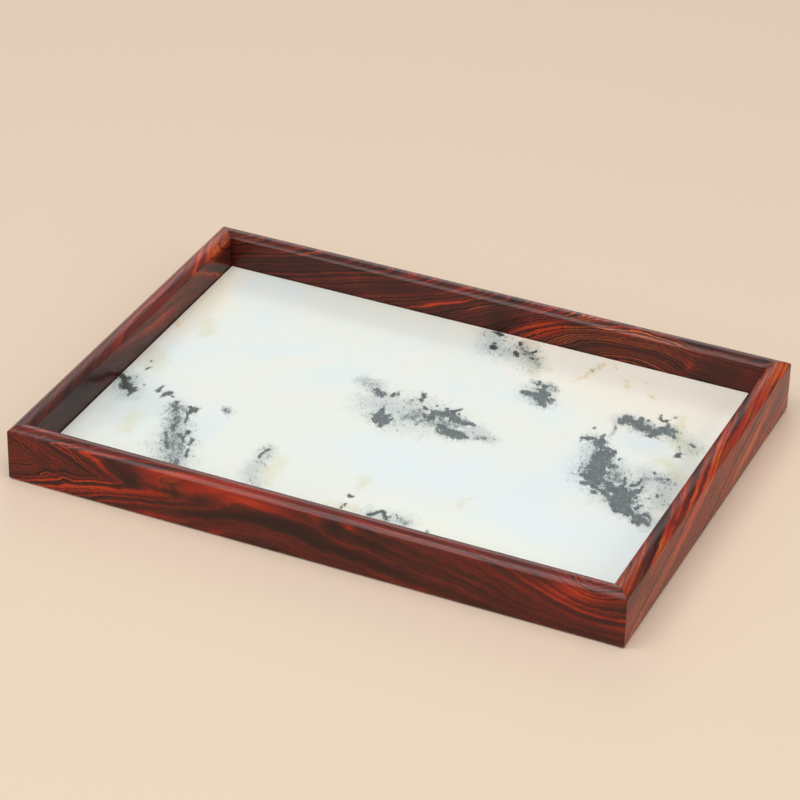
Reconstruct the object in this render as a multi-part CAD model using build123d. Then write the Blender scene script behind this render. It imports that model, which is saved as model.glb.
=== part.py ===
"""Gongfu tea tray: a mitred hardwood frame with a crowned top edge round a thin marble slab.

The tray stands on its pads with the table at z = 0. X runs along the long rails, Y along the
short ones, and the origin is the centre of the footprint. All sizes are in millimetres.

The frame is four rails, mitred at the corners and locked by a blind spline in each mitre. The rails
are grooved round the inside for the tongue of a solid bottom board, and two dovetailed battens slide
across the underside of the board, with their tenons in the long rails. The slab lies on the board in
dabs of adhesive, level inside the frame, and a bead of sealant fills the joint round its edge.
"""

from build123d import *
from math import radians, sin
import os

# Frame
tray_length = 350.0
tray_width = 250.0
rail_height = 31.5
rail_thickness = 11.0
crown_rise = 2.6
arris_radius = 0.5
bottom_edge_radius = 0.8
corner_edge_radius = 0.6

# Bottom board and its tongue
board_recess = 2.3
board_thickness = 3.5
tongue_thickness = 2.0
tongue_length = 4.0
tongue_end_gap = 0.3
fit_clearance = 0.05

# Stone slab and the bead of sealant round it
slab_thickness = 5.0
slab_arris = 0.3
slab_joint = 0.4
sealant_depth = 2.5
sealant_setback = 0.3

# Adhesive dabs under the slab
dab_diameter = 22.0
dab_thickness = 0.4
dab_rows = 3
dab_columns = 4
dab_margin = 30.0

# Sliding dovetail battens
batten_spacing = 170.0
batten_width = 24.0
batten_thickness = 2.4
batten_depth_in_board = 1.5
batten_flare = 0.35
batten_tenon_width = 16.0
batten_tenon_thickness = 1.4
batten_tenon_length = 4.0

# Blind splines in the mitres
spline_thickness = 2.4
spline_length = 12.0
spline_outer_wall = 1.5
spline_end_wall = 3.6

# Anti-slip pads let into the long rails
pad_diameter = 7.0
pad_standout = 0.5
pad_recess = 0.8
pad_edge_radius = 0.3
pad_from_end = 22.0

# Construction
cut_overrun = 2.0
mitre_angle = 45.0

# Heights above the table
rail_bottom = pad_standout
rail_top = rail_bottom + rail_height
arris_height = rail_top - crown_rise
board_bottom = rail_bottom + board_recess
board_top = board_bottom + board_thickness
tongue_bottom = board_top - tongue_thickness
slab_bottom = board_top + dab_thickness
slab_top = slab_bottom + slab_thickness
batten_top = board_bottom + batten_depth_in_board
batten_bottom = batten_top - batten_thickness
spline_bottom = board_top + spline_end_wall
spline_top = arris_height - spline_end_wall

# Plan sizes inside the frame
well_length = tray_length - 2 * rail_thickness
well_width = tray_width - 2 * rail_thickness
slab_length = well_length - 2 * slab_joint
slab_width = well_width - 2 * slab_joint
groove_length = well_length + 2 * tongue_length
groove_width = well_width + 2 * tongue_length

# Stations of the battens, and the centres of the splines and pads from the outer faces
batten_stations = [-batten_spacing / 2, batten_spacing / 2]
spline_from_outside = spline_outer_wall + (spline_length + spline_thickness) / 2 * sin(radians(mitre_angle))
pad_from_outside = (bottom_edge_radius + rail_thickness) / 2


def block(x_span, y_span, z_span):
    """A box from its lowest and highest X, Y and Z."""
    spans = (x_span, y_span, z_span)
    size = [span[1] - span[0] for span in spans]
    centre = [(span[1] + span[0]) / 2 for span in spans]
    return Pos(*centre) * Box(*size)


def centred_block(length, width, z_span):
    """A box centred on the Z axis between two heights."""
    return block((-length / 2, length / 2), (-width / 2, width / 2), z_span)


def rail_section():
    """The moulded section of a rail: Y inward from the outer face, Z up from the table."""
    rounded = (bottom_edge_radius, rail_bottom), (0, rail_bottom + bottom_edge_radius)
    crown = (rail_thickness / 2, rail_top)
    outline = Polyline((rail_thickness, arris_height), (rail_thickness, rail_bottom), rounded[0])
    outline += RadiusArc(*rounded, bottom_edge_radius)
    outline += Line(rounded[1], (0, arris_height))
    outline += ThreePointArc((0, arris_height), crown, (rail_thickness, arris_height))
    section = make_face(outline)
    arrises = section.vertices().filter_by(lambda corner: abs(corner.Y - arris_height) < arris_radius)
    return Plane.YZ * fillet(arrises, arris_radius)


def rail(side_length, side_offset):
    """A moulded and mitred rail along X, with its outer face at y = -side_offset."""
    bar = Pos(0, -side_offset, 0) * extrude(rail_section(), side_length / 2, both=True)
    outer_half = side_length / 2 + cut_overrun
    inner_half = side_length / 2 - rail_thickness - cut_overrun
    mitred_plan = Polyline(
        (-outer_half, -side_offset - cut_overrun),
        (outer_half, -side_offset - cut_overrun),
        (inner_half, -side_offset + rail_thickness + cut_overrun),
        (-inner_half, -side_offset + rail_thickness + cut_overrun),
        close=True,
    )
    return bar & extrude(make_face(mitred_plan), rail_top + cut_overrun)


def frame_footprint():
    """The plan of the whole frame with its upright corner edges eased, as a prism."""
    return extrude(RectangleRounded(tray_length, tray_width, corner_edge_radius), rail_top + cut_overrun)


def groove_ring():
    """The groove that runs round the inside of the frame for the tongue of the board."""
    span = (tongue_bottom - fit_clearance, board_top + fit_clearance)
    outer = centred_block(groove_length, groove_width, span)
    return outer - centred_block(well_length - cut_overrun, well_width - cut_overrun, span)


def mitre_spline(x_sign, y_sign, clearance=0.0):
    """The spline of one corner, or with a clearance the slot that it sits in."""
    place = Pos(
        x_sign * (tray_length / 2 - spline_from_outside),
        y_sign * (tray_width / 2 - spline_from_outside),
        (spline_bottom + spline_top) / 2,
    )
    size = (spline_length, spline_thickness, spline_top - spline_bottom)
    spline = Box(*[side + 2 * clearance for side in size])
    return place * Rot(0, 0, -x_sign * y_sign * mitre_angle) * spline


def pad(x_sign, y_sign, clearance=0.0):
    """One round pad, or with a clearance the recess that it is glued into."""
    place = Pos(
        x_sign * (tray_length / 2 - pad_from_end),
        y_sign * (tray_width / 2 - pad_from_outside),
        0,
    )
    height = pad_standout + pad_recess
    disc = Cylinder(pad_diameter / 2 + clearance, height, align=(Align.CENTER, Align.CENTER, Align.MIN))
    if clearance == 0:
        disc = fillet(disc.edges().sort_by(Axis.Z)[0], pad_edge_radius)
    return place * disc


def batten(station, clearance=0.0):
    """One sliding batten, or with a clearance the groove and the mortises that it needs.

    Its dovetail section is wider at the top, inside the board, than at the bottom.
    """
    top_half = batten_width / 2 + clearance
    bottom_half = top_half - batten_flare
    section = make_face(Polyline(
        (-bottom_half, batten_bottom),
        (bottom_half, batten_bottom),
        (top_half, batten_top + clearance),
        (-top_half, batten_top + clearance),
        close=True,
    ))
    shoulder = well_width / 2 - tongue_end_gap + clearance
    body = extrude(Plane.XZ * section, shoulder, both=True)
    tenon_half = batten_tenon_width / 2 + clearance
    tenon_end = well_width / 2 + batten_tenon_length + clearance
    tenon_bottom = batten_top - batten_tenon_thickness - clearance
    tenon = block((-tenon_half, tenon_half), (-tenon_end, tenon_end), (tenon_bottom, batten_top + clearance))
    return Pos(station, 0, 0) * (body + tenon)


def long_rail(y_sign):
    """The front rail (y_sign -1) or the back rail (y_sign 1), with all its joints cut."""
    turn = 0 if y_sign < 0 else 180
    piece = Rot(0, 0, turn) * rail(tray_length, tray_width / 2) & frame_footprint()
    piece -= groove_ring()
    for x_sign in (-1, 1):
        piece -= mitre_spline(x_sign, y_sign, fit_clearance)
        piece -= pad(x_sign, y_sign, fit_clearance)
    for station in batten_stations:
        piece -= batten(station, fit_clearance)
    return piece


def short_rail(x_sign):
    """The left rail (x_sign -1) or the right rail (x_sign 1), with all its joints cut."""
    turn = -90 if x_sign < 0 else 90
    piece = Rot(0, 0, turn) * rail(tray_width, tray_length / 2) & frame_footprint()
    piece -= groove_ring()
    for y_sign in (-1, 1):
        piece -= mitre_spline(x_sign, y_sign, fit_clearance)
    return piece


def bottom_board():
    """The board, its tongue flush with its top face and two dovetail grooves across its underside."""
    panel_length = well_length - 2 * tongue_end_gap
    panel_width = well_width - 2 * tongue_end_gap
    board = centred_block(panel_length, panel_width, (board_bottom, board_top))
    board += centred_block(
        panel_length + 2 * tongue_length,
        panel_width + 2 * tongue_length,
        (tongue_bottom, board_top),
    )
    for station in batten_stations:
        board -= batten(station, fit_clearance)
    return board


def marble_slab():
    """The slab, with its top arris eased by a small chamfer."""
    slab = centred_block(slab_length, slab_width, (slab_bottom, slab_top))
    return chamfer(slab.faces().sort_by(Axis.Z)[-1].edges(), slab_arris)


def edge_sealant():
    """The bead that fills the joint between the slab and the rails, just under the slab's face."""
    bead_top = slab_top - sealant_setback
    span = (bead_top - sealant_depth, bead_top)
    return centred_block(well_length, well_width, span) - centred_block(slab_length, slab_width, span)


def adhesive_dabs():
    """The dabs that bed the slab on the board, in even rows and columns."""
    rows = GridLocations(
        (slab_length - 2 * dab_margin) / (dab_columns - 1),
        (slab_width - 2 * dab_margin) / (dab_rows - 1),
        dab_columns,
        dab_rows,
    )
    dab = Cylinder(dab_diameter / 2, dab_thickness, align=(Align.CENTER, Align.CENTER, Align.MIN))
    return Pos(0, 0, board_top) * Compound(children=[place * dab for place in rows])


def all_pieces():
    """Every piece of the tray by its node name."""
    pieces = {
        "bottom_board": bottom_board(),
        "marble_slab": marble_slab(),
        "edge_sealant": edge_sealant(),
        "adhesive_dabs": adhesive_dabs(),
    }
    sides = {"front": -1, "back": 1}
    ends = {"left": -1, "right": 1}
    for side, y_sign in sides.items():
        pieces[f"{side}_rail"] = long_rail(y_sign)
    for (end, x_sign), station in zip(ends.items(), batten_stations):
        pieces[f"{end}_rail"] = short_rail(x_sign)
        pieces[f"{end}_batten"] = batten(station)
        for side, y_sign in sides.items():
            pieces[f"mitre_spline_{side}_{end}"] = mitre_spline(x_sign, y_sign)
            pieces[f"pad_{side}_{end}"] = pad(x_sign, y_sign)
    return pieces


os.makedirs("parts", exist_ok=True)
for name, shape in all_pieces().items():
    export_step(shape, os.path.join("parts", f"{name}.step"))
    print(name, len(shape.solids()), round(shape.volume, 1))
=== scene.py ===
# %% [markdown]
# # A gongfu tea tray in figured rosewood and marble
#
# The tray is a mitred hardwood frame round a level slab of pale marble. The construction comes from
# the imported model: every piece is already at its real size and place. This script gives each piece
# its finish, and remakes the pieces whose shape the eye rests on: the moulded rails, the slab and
# the pads. Sizes are worked out in millimetres, because that is how a joiner thinks of them, and
# are turned into metres where a mesh is made.

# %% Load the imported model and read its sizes
from math import radians

import bmesh
import bpy
import numpy as np
from mathutils import Matrix, Vector


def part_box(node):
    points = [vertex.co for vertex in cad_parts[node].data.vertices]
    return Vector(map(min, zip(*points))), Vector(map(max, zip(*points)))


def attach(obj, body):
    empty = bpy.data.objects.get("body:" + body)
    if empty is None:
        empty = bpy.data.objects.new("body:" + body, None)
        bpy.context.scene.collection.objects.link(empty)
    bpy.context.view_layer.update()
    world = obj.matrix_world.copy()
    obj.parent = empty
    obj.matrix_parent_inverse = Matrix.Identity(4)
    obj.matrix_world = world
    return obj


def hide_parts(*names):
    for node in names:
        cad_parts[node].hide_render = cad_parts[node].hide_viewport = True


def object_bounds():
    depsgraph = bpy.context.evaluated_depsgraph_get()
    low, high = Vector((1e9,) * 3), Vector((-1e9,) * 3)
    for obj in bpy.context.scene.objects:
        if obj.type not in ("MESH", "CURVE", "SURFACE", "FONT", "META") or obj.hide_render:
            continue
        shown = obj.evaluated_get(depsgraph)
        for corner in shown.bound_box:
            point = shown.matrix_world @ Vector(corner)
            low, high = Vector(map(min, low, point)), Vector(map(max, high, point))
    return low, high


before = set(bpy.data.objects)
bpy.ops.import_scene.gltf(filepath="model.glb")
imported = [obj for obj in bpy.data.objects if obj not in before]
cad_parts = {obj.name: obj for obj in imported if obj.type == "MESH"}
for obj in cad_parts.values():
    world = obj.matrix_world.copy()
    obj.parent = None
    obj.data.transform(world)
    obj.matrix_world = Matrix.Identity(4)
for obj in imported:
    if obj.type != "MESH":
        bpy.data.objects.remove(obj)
cad_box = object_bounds()

MM = 0.001


def box_mm(node):
    """The lowest and highest corners of a node, in millimetres."""
    return [np.array(corner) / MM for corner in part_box(node)]


rail_low, rail_high = box_mm("front_rail")
slab_low, slab_high = box_mm("marble_slab")
frame_low, frame_high = [np.array(corner) / MM for corner in cad_box]
frame_length, frame_width = (frame_high - frame_low)[:2]
rail_thickness = rail_high[1] - rail_low[1]
rail_foot, rail_top = rail_low[2], rail_high[2]
print("frame", round(frame_length, 1), "x", round(frame_width, 1), "mm")
print("rails", round(rail_thickness, 1), "mm thick")

# %% [markdown]
# ## Wires that can be added and multiplied
#
# A material is a small sum about a point on the surface. Written as nodes and links, a sum is hard
# to read, so a wire here is a socket that knows how to add, subtract, multiply and divide: an
# expression on wires leaves Math nodes behind it. Any other node is made by one method, which sets
# the node's own settings first and then fills its sockets with numbers or with wires.

# %% Wires and the bench that makes nodes
class Wire:
    """An output socket that can stand in an expression."""

    def __init__(self, bench, socket):
        self.bench = bench
        self.socket = socket

    def math(self, operation, *others):
        return self.bench.add("ShaderNodeMath", [self, *others], operation=operation)

    def __add__(self, other):
        return self.math("ADD", other)

    def __sub__(self, other):
        return self.math("SUBTRACT", other)

    def __rsub__(self, other):
        return self.bench.add("ShaderNodeMath", [other, self], operation="SUBTRACT")

    def __mul__(self, other):
        return self.math("MULTIPLY", other)

    def __truediv__(self, other):
        return self.math("DIVIDE", other)

    __radd__ = __add__
    __rmul__ = __mul__


class Bench:
    """A node tree that is being built."""

    def __init__(self, tree):
        self.tree = tree

    def add(self, kind, sockets=(), output=0, stops=None, **settings):
        """Makes a node, sets it up, fills its sockets and returns one of its outputs as a wire."""
        node = self.tree.nodes.new(kind)
        for name, value in settings.items():
            setattr(node, name, value)
        if stops:
            set_stops(node.color_ramp, stops)
        named = sockets.items() if isinstance(sockets, dict) else enumerate(sockets)
        for name, value in named:
            self.plug(value, node.inputs[name])
        return Wire(self, node.outputs[output]) if node.outputs else node

    def plug(self, value, socket):
        """Links a wire to a socket, or sets the socket's own value. A colour gets its alpha."""
        if isinstance(value, Wire):
            self.tree.links.new(value.socket, socket)
        else:
            socket.default_value = (*value, 1) if socket.type == "RGBA" else value


def set_stops(ramp, stops):
    """Puts a colour ramp's stops at the given places."""
    while len(ramp.elements) > 1:
        ramp.elements.remove(ramp.elements[-1])
    for index, (place, colour) in enumerate(stops):
        element = ramp.elements[0] if index == 0 else ramp.elements.new(place)
        element.position = place
        element.color = (*colour, 1)


# %% [markdown]
# ## The camera
#
# The photograph looks down on the tray from the front, a little from the right, through a long
# lens. The values below put the edges of the frame and of the stone where the photograph has them.

# %% Camera
camera_azimuth = 23.77
camera_elevation = 31.82
camera_roll = 1.33
camera_distance = 1827.2
camera_aim = Vector((-21.4, 38.95, 0.0))
camera_lens = 148.4
camera_sensor = 36.0

turn = (
    Matrix.Rotation(radians(camera_azimuth), 4, "Z")
    @ Matrix.Rotation(radians(90 - camera_elevation), 4, "X")
    @ Matrix.Rotation(radians(camera_roll), 4, "Z")
)
camera_data = bpy.data.cameras.new("view")
camera_data.lens = camera_lens
camera_data.sensor_width = camera_sensor
camera = bpy.data.objects.new("view", camera_data)
towards_eye = turn.col[2].xyz
camera.matrix_world = Matrix.Translation((camera_aim + towards_eye * camera_distance) * MM) @ turn
bpy.context.scene.collection.objects.link(camera)
bpy.context.scene.camera = camera
print("camera at", [round(value, 3) for value in camera.matrix_world.translation])

# %% [markdown]
# ## Floor and light
#
# The tray was photographed in very soft light: the shadows are faint and the polish shows as a thin
# pale line along the crowned edges, not as sparks. So large soft lamps above, in front and at the
# right do most of the work with an even sky. The one at the back stands where the level top of each
# rail mirrors it, and the small one at the front left is mirrored in the outer side of each crown.
# A pale wall stands all round such a table. It lights the tray only a little, but the wood mirrors
# it at a glancing angle, so the sky is brighter to a ray that was mirrored or comes straight from
# the camera. The floor is plain and pale, and warm, because the waxed wood mirrors it too.

# %% Floor, sky and lamps
floor_size = 8000
floor_colour = (0.80, 0.64, 0.495)
floor_roughness = 0.9
sky_colour = (1, 1, 1)
sky_strength = 0.22
wall_strength = 0.80
lamps = [
    ("crown", Vector((-640, -640, 1700)), 760, 6.5),
    ("overhead", Vector((400, -200, 2800)), 2200, 34),
    ("front", Vector((100, -2400, 2200)), 2600, 26.5),
    ("side", Vector((2200, -900, 1200)), 1800, 15),
    ("back", Vector((-1050, 2400, 1700)), 1700, 13.5),
]


def make_floor():
    """A plain plane at the height of the table, which isn't part of the object."""
    material = bpy.data.materials.new("floor")
    material.use_nodes = True
    surface = material.node_tree.nodes["Principled BSDF"]
    surface.inputs["Base Color"].default_value = (*floor_colour, 1)
    surface.inputs["Roughness"].default_value = floor_roughness
    half = floor_size / 2 * MM
    mesh = bpy.data.meshes.new("floor")
    corners = [(-half, -half, 0), (half, -half, 0), (half, half, 0), (-half, half, 0)]
    mesh.from_pydata(corners, [], [(0, 1, 2, 3)])
    mesh.materials.append(material)
    floor = bpy.data.objects.new("floor", mesh)
    bpy.context.scene.collection.objects.link(floor)
    return floor


def make_lamp(name, place, size, watts):
    """A square soft lamp that faces the tray."""
    data = bpy.data.lights.new(name, "AREA")
    data.size = size * MM
    data.energy = watts
    lamp = bpy.data.objects.new(name, data)
    facing = place.to_track_quat("Z", "Y").to_matrix().to_4x4()
    lamp.matrix_world = Matrix.Translation(place * MM) @ facing
    bpy.context.scene.collection.objects.link(lamp)


make_floor()
for lamp in lamps:
    make_lamp(*lamp)
world = bpy.data.worlds.new("sky")
world.use_nodes = True
sky = world.node_tree.nodes["Background"]
sky_bench = Bench(world.node_tree)
sky_bench.plug(sky_colour, sky.inputs["Color"])
from_camera = sky_bench.add("ShaderNodeLightPath", output="Is Camera Ray")
mirrored = sky_bench.add("ShaderNodeLightPath", output="Is Glossy Ray")
wall = from_camera.math("MAXIMUM", mirrored)
sky_bench.plug(wall * (wall_strength - sky_strength) + sky_strength, sky.inputs["Strength"])
bpy.context.scene.world = world
bpy.context.scene.view_settings.view_transform = "Standard"
print("lamps", [lamp[0] for lamp in lamps])

# %% [markdown]
# ## Tools for every material
#
# Each finish starts from the point's place on the real object, in millimetres, so that a grain line
# that is 2 mm apart in the workshop is written as 2. A hill is a bump about a point: it is used to
# bend the grain and to tint a patch. A round hill has a soft top, a sharp one has a point, and an
# arrow is a sharp one with straight flanks, so that what is level round it is a diamond and not an
# oval.

# %% Material tools
# Noise goes from zero to one, about this middle
middle = 0.5


def new_finish(name):
    """An empty material and the bench for its nodes."""
    material = bpy.data.materials.new(name)
    material.use_nodes = True
    material.node_tree.nodes.clear()
    return material, Bench(material.node_tree)


def place_mm(bench):
    """Where the point is on the object, in millimetres."""
    place = bench.add("ShaderNodeTexCoord", output="Object")
    return bench.add("ShaderNodeVectorMath", {0: place, "Scale": 1 / MM}, operation="SCALE")


def vector(bench, x, y, z):
    """Three numbers as one vector."""
    return bench.add("ShaderNodeCombineXYZ", [x, y, z])


def vector_math(bench, operation, *values):
    """A sum on whole vectors. A length or a dot product comes out as a number."""
    output = "Value" if operation in ("LENGTH", "DOT_PRODUCT") else "Vector"
    return bench.add("ShaderNodeVectorMath", values, output=output, operation=operation)


def parts_of(bench, place):
    """The three parts of a vector, as wires."""
    node = bench.add("ShaderNodeSeparateXYZ", [place]).socket.node
    return [Wire(bench, socket) for socket in node.outputs]


def noise(bench, place, scale, detail=2.0, roughness=0.5, distortion=0.0, output="Fac"):
    """Cloudy noise. The scale is one over the size of a cloud in millimetres."""
    sockets = {
        "Vector": place,
        "Scale": scale,
        "Detail": detail,
        "Roughness": roughness,
        "Distortion": distortion,
    }
    return bench.add("ShaderNodeTexNoise", sockets, output=output)


def line_noise(bench, field, scale, detail=2.0, roughness=0.5):
    """Noise along one number, so that it draws a line wherever that number is alike."""
    sockets = {"W": field, "Scale": scale, "Detail": detail, "Roughness": roughness}
    return bench.add("ShaderNodeTexNoise", sockets, noise_dimensions="1D")


def stretch(bench, place, factors):
    """The place with each of its parts multiplied."""
    return vector_math(bench, "MULTIPLY", place, factors)


def ramp(bench, value, stops):
    """The colour of a value on a ramp."""
    return bench.add("ShaderNodeValToRGB", [value], stops=stops)


def fade(bench, value, low, high, start=0.0, end=1.0):
    """Goes smoothly from start to end while the value goes from low to high."""
    sockets = {"Value": value, "From Min": low, "From Max": high, "To Min": start, "To Max": end}
    return bench.add("ShaderNodeMapRange", sockets, interpolation_type="SMOOTHSTEP")


def mix(bench, share, first, second):
    """The first colour with a share of the second laid over it."""
    return bench.add("ShaderNodeMix", {0: share, 6: first, 7: second}, output=2, data_type="RGBA")


def hill(bench, place, centre, spread, shape="round"):
    """One at the centre, and falling away over the spread along each axis."""
    scaled = vector_math(bench, "DIVIDE", vector_math(bench, "SUBTRACT", place, centre), spread)
    if shape == "arrow":
        fall = vector_math(bench, "DOT_PRODUCT", vector_math(bench, "ABSOLUTE", scaled), (1, 1, 1))
    else:
        fall = vector_math(bench, "LENGTH", scaled)
    return ((fall * fall if shape == "round" else fall) * -1).math("EXPONENT")


def add_hills(bench, value, place, hills):
    """The value with hills laid on it. Each has its height, centre, spread and often a shape."""
    for amount, *where in hills:
        value = hill(bench, place, *where) * amount + value
    return value


def finish(bench, colour, roughness, height, height_mm, ior):
    """The surface shader, with its bump. A higher index of refraction is a stronger gloss."""
    bump = {"Height": height, "Distance": height_mm * MM, "Strength": 1}
    shader = bench.add("ShaderNodeBsdfPrincipled", {
        "Base Color": colour,
        "Roughness": roughness,
        "IOR": ior,
        "Normal": bench.add("ShaderNodeBump", bump),
    })
    bench.add("ShaderNodeOutputMaterial", {"Surface": shader})


# %% [markdown]
# ## Figured rosewood
#
# The rails are cut from wild-grained rosewood: near-black growth lines on red and orange, which run
# along the rail and bend round burls. In the tree each line is the edge of one year's growth, a
# surface in space that the saw cuts. So the grain is worked out in space too: a number, here called
# the year, that is alike all over one growth surface. Straight grain is the year rising across the
# rail. A burl or a swelling is a hill of years, and the lines bend round the hill by themselves,
# over the arris and on to the next face, as they do in solid wood. A burl cut near its heart shows
# as nested arrowheads, so that hill is an arrow.
#
# Noise that reads nothing but the year draws the lines, over an even beat of rings, which is strong
# where the tree grew evenly. An accent darkens or warms one line, so it follows the grain wherever
# that goes. A patch darkens or warms a place, a lively place has stronger lines than the rest, and a
# finer place has closer ones. All are laid out at a point of the rail: the first part of a place is
# along the rail from its middle, the second is depth in from the outer face, and the third is height
# above the table. The wax was rubbed by hand, so each rail took its own share of it.

# %% Grain of each rail
# The slope is in years per millimetre, and the seed is the year that the count starts from. A hill
# has its height in years, centre, spread and shape. An accent has its strength, centre, length and
# half width. A patch, a lively place and a finer place have their strength, centre and spread. The
# beat is how strongly the rings show, the tone is where the wood lies on its ramps of colours, and
# the warmth leans it from the red ramp towards the orange one.
grains = {
    "front": {
        "slope": (0, 0.36, 0.10),
        "hills": [
            (-1.5, (-30, 0, 7.8), (46, 60, 60), "round"),
            (24.7, (-178, 4, 16.6), (42, 30, 13), "arrow"),
            (-2.6, (-153, 4, 15.1), (6, 12, 7), "round"),
            (-1.6, (-141, 4, 13), (5, 12, 6), "round"),
            (12, (158, 4, 34), (30, 30, 17), "sharp"),
        ],
        "accents": [
            (-0.34, (-22, 0, 16.7), 80, 2),
            (-0.22, (-12, 0, 3.1), 30, 1.4),
            (0.34, (-88, 0, 2.6), 22, 1.3),
            (0.16, (-25, 0, 8.8), 44, 1.6),
            (0.20, (-88, 0, 24.4), 26, 1.4),
            (-0.26, (36, 0, 24.4), 10, 1.4),
        ],
        "patches": [
            (0.42, (-41, 0, 27.5), (32, 12, 6)),
            (-0.16, (-92, 0, 25.4), (12, 12, 6)),
            (0.03, (-145, 0, 15.1), (30, 12, 20)),
            (-0.10, (-106, 0, 19), (10, 12, 7)),
            (0.32, (146, 0, 24.9), (19, 12, 6.5)),
            (-0.18, (-153, 0, 15.1), (5, 12, 5)),
            (-0.16, (-141, 0, 13), (4, 12, 5)),
            (-0.24, (-82, 0, 19.7), (17, 12, 1.8)),
            (-0.28, (15, 0, 25.4), (5, 12, 5)),
            (0.22, (5, 0, 27.5), (3, 12, 2.5)),
            (0.20, (24, 0, 27.5), (3, 12, 2.5)),
            (-0.08, (135, 0, 7.8), (50, 12, 8)),
        ],
        "lively": [
            (0.95, (-146, 0, 15), (32, 60, 60)),
            (-0.35, (-106, 0, 19), (12, 60, 9)),
            (-0.78, (-46, 0, 27.5), (36, 60, 7)),
            (0.60, (152, 0, 25.4), (24, 60, 8)),
            (-0.45, (125, 0, 5.7), (70, 60, 10)),
            (-0.15, (90, 0, 20.3), (38, 60, 14)),
        ],
        "finer": [
            (0.55, (-150, 0, 15), (36, 60, 40)),
            (1.1, (90, 0, 19), (60, 60, 20)),
            (0.6, (0, 8, 32), (200, 9, 3)),
        ],
        "beat": 0.05,
        "tone": 0.49,
        "wax_ior": 1.33,
        "warmth": -0.10,
        "seed": 3,
    },
    "back": {
        "slope": (-0.11, -0.03, 0.40),
        "hills": [
            (-24, (77, 11, 8.8), (60, 90, 26), "round"),
            (3, (121, 11, 18.2), (6, 9, 9), "sharp"),
        ],
        "accents": [
            (0.62, (-32, 11, 20.3), 20, 1.3),
            (0.50, (-10, 11, 22.3), 12, 1.1),
            (0.50, (26, 11, 20.3), 16, 1),
            (0.44, (36, 11, 21.3), 16, 0.9),
            (0.40, (-132, 11, 28), 16, 1),
        ],
        "patches": [
            (0.18, (33, 11, 21.3), (15, 12, 9)),
            (-0.16, (6, 11, 17.1), (9, 12, 9)),
            (-0.12, (138, 11, 17.1), (13, 12, 10)),
            (0.24, (120, 11, 19.2), (2.5, 9, 6)),
            (0.20, (156, 11, 22.3), (5, 6, 3)),
            (0.20, (64, 6, 32), (24, 5, 2.5)),
            (-0.06, (-110, 11, 20.3), (60, 12, 12)),
        ],
        "lively": [
            (0.80, (72, 11, 20.3), (50, 20, 60)),
            (-0.25, (-110, 11, 20.3), (60, 8, 12)),
            (-1, (146, 11, 18), (19, 12, 14)),
            (0.50, (0, 4, 32), (240, 8, 3)),
        ],
        "finer": [
            (0.4, (77, 11, 15.1), (50, 12, 16)),
        ],
        "beat": 0.13,
        "tone": 0.42,
        "wax_ior": 1.32,
        "warmth": 0.06,
        "seed": 17,
    },
    "left": {
        "slope": (0.055, 0.40, 0.25),
        "hills": [(-3.2, (60, 8, 32), (40, 12, 24), "round")],
        "accents": [
            (0.20, (92, 3, 31.3), 24, 1.2),
            (0.20, (10, 5, 32), 34, 1),
            (-0.26, (40, 8, 31.4), 26, 0.7),
        ],
        "patches": [
            # Painted sheen: this patch lightens the whole crown and stands in for the pale
            # reflection along its top
            (0.15, (10, 5, 31.5), (130, 6.5, 3)),
            (-0.18, (-95, 6, 30.8), (45, 20, 12)),
            (0.18, (95, 5, 31.4), (30, 7, 2.5)),
            (0.24, (98, 11, 28.6), (18, 4, 3)),
            (-0.16, (104, 11, 17.1), (16, 5, 8)),
            # Painted shade: this patch and the next darken the inner face where a shadow falls
            # there, not darker wood
            (-0.34, (-72, 11, 18.2), (32, 4, 14)),
            (-0.16, (-12, 11, 9.9), (26, 4, 7)),
            (0.26, (35, 11, 24.4), (32, 4, 8)),
        ],
        "lively": [
            (0.20, (60, 6, 32), (60, 10, 4)),
            (-0.30, (0, 11, 18.2), (200, 4, 11)),
        ],
        "finer": [
            (0.8, (0, 11, 18.2), (200, 4, 11)),
        ],
        "beat": 0.04,
        "tone": 0.46,
        "wax_ior": 1.27,
        "warmth": 0,
        "seed": 29,
    },
    "right": {
        "slope": (-0.07, 0.45, 0.27),
        "hills": [(-1.4, (20, 4, 25.4), (60, 14, 14), "round")],
        "accents": [
            (-0.60, (-62, 6.5, 31.9), 32, 0.85),
            (-0.60, (-10, 6.8, 31.9), 28, 0.85),
            (-0.60, (55, 5.5, 32), 34, 0.95),
            (-0.50, (-84, 2.2, 31.1), 34, 0.70),
            (0.30, (-75, 1.3, 30.5), 18, 0.8),
            (0.30, (-25, 2, 30.9), 20, 0.8),
            (0.30, (35, 3, 31.5), 24, 0.9),
            (0.60, (62, 0, 13.5), 30, 1.4),
            (0.40, (-30, 0, 21.3), 50, 1.6),
        ],
        "patches": [
            # Painted sheen: this patch lightens the whole crown and stands in for the pale
            # reflection along its top
            (0.07, (0, 5, 31.5), (140, 6, 2)),
            (0.30, (113, 2, 30.8), (11, 3, 2.5)),
            (-0.16, (-52, 2.3, 31.2), (3, 1.5, 2)),
        ],
        "lively": [
            (0.15, (0, 5, 32), (200, 8, 4)),
            (0.20, (0, 0, 14), (200, 4, 13)),
        ],
        "finer": [
            (0.9, (0, 0, 14), (200, 4, 13)),
        ],
        "beat": 0.04,
        "tone": 0.66,
        "wax_ior": 1.19,
        "warmth": 0.04,
        "seed": 41,
    },
}


def hill_height(point, centre, spread, shape):
    """The same hill as the material's, worked out for one point."""
    scaled = (np.array(point) - centre) / spread
    if shape == "arrow":
        return np.exp(-np.abs(scaled).sum())
    fall = np.linalg.norm(scaled)
    return np.exp(-fall ** 2 if shape == "round" else -fall)


def year_at(grain, point):
    """The year that a point of the rail grew in."""
    years = [top * hill_height(point, *where) for top, *where in grain["hills"]]
    return float(np.dot(grain["slope"], point) + grain["seed"] + sum(years))


def years_per_mm(grain, point):
    """How fast the year changes across the grain at a point."""
    rises = [year_at(grain, point + step) - year_at(grain, point - step) for step in np.eye(3) / 2]
    return float(np.linalg.norm(rises))


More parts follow.
